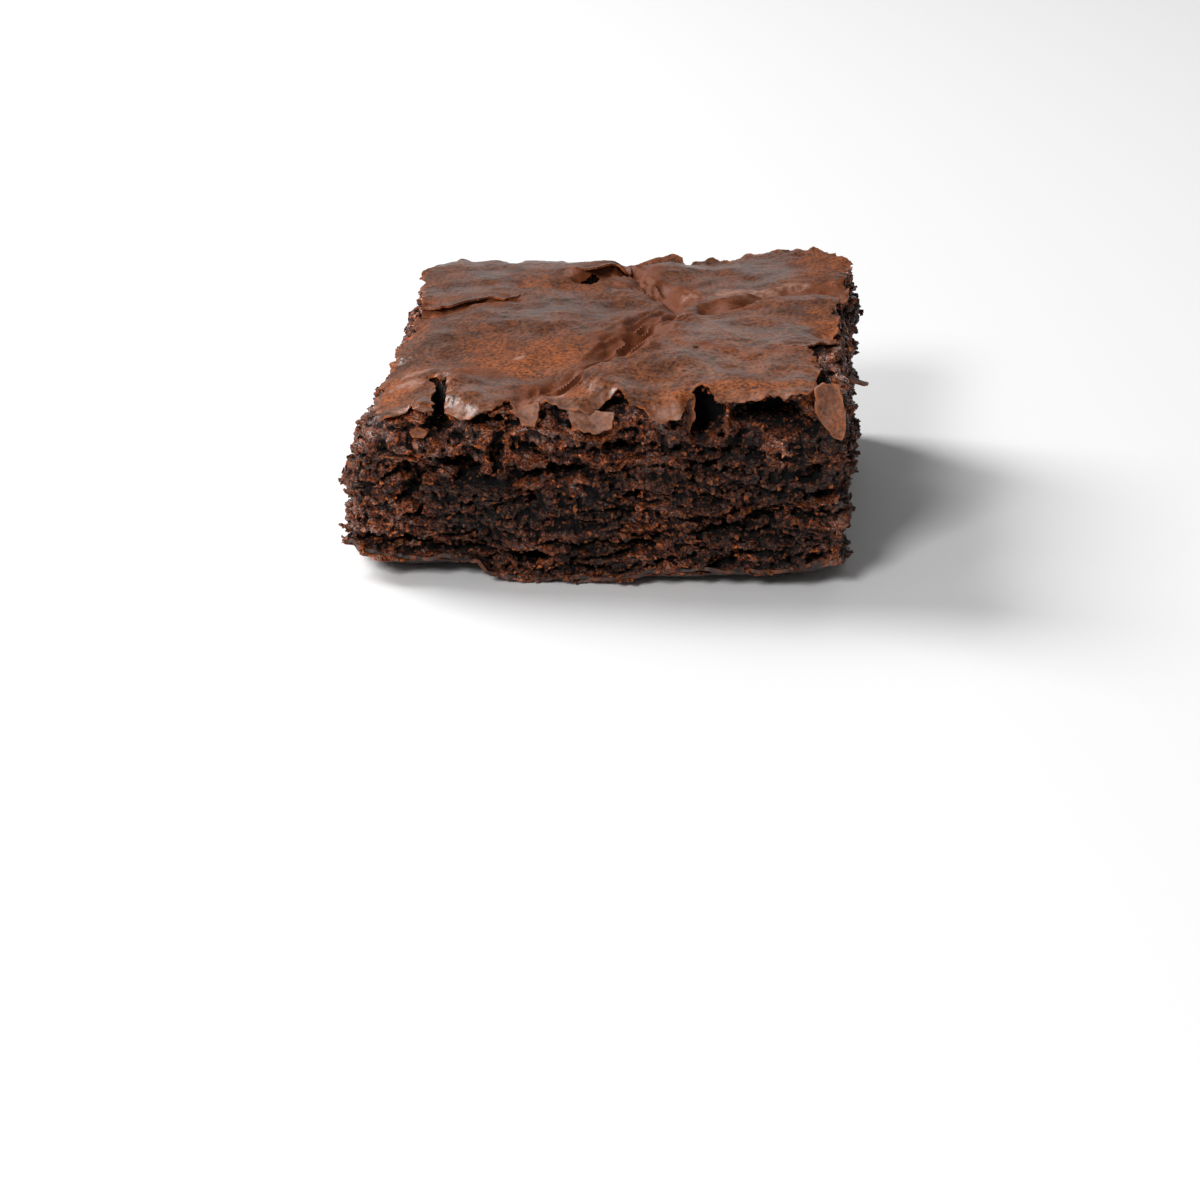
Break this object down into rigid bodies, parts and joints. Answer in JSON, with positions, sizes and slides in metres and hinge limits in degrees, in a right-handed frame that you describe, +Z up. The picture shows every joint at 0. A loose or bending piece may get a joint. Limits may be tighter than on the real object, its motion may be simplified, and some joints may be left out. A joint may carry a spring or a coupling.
{
  "type": "chocolate brownie",
  "caption": "Square piece of fudgy chocolate tray bake with a thin papery crust, torn into overlapping plates, over rough cut sides of dense moist crumb.",
  "frame": {"origin": "centre of the outline seen from above, on the flat base that the piece rests on", "axes": "+X to the right of the cut side that the picture shows, +Y from that side to the back, +Z up through the crust"},
  "size_m": [0.0726, 0.0704, 0.0304],
  "materials": {
    "crumb": null,
    "crust": null
  },
  "bodies": {
    "root": {"brownie": "crumb"}
  },
  "joints": []
}
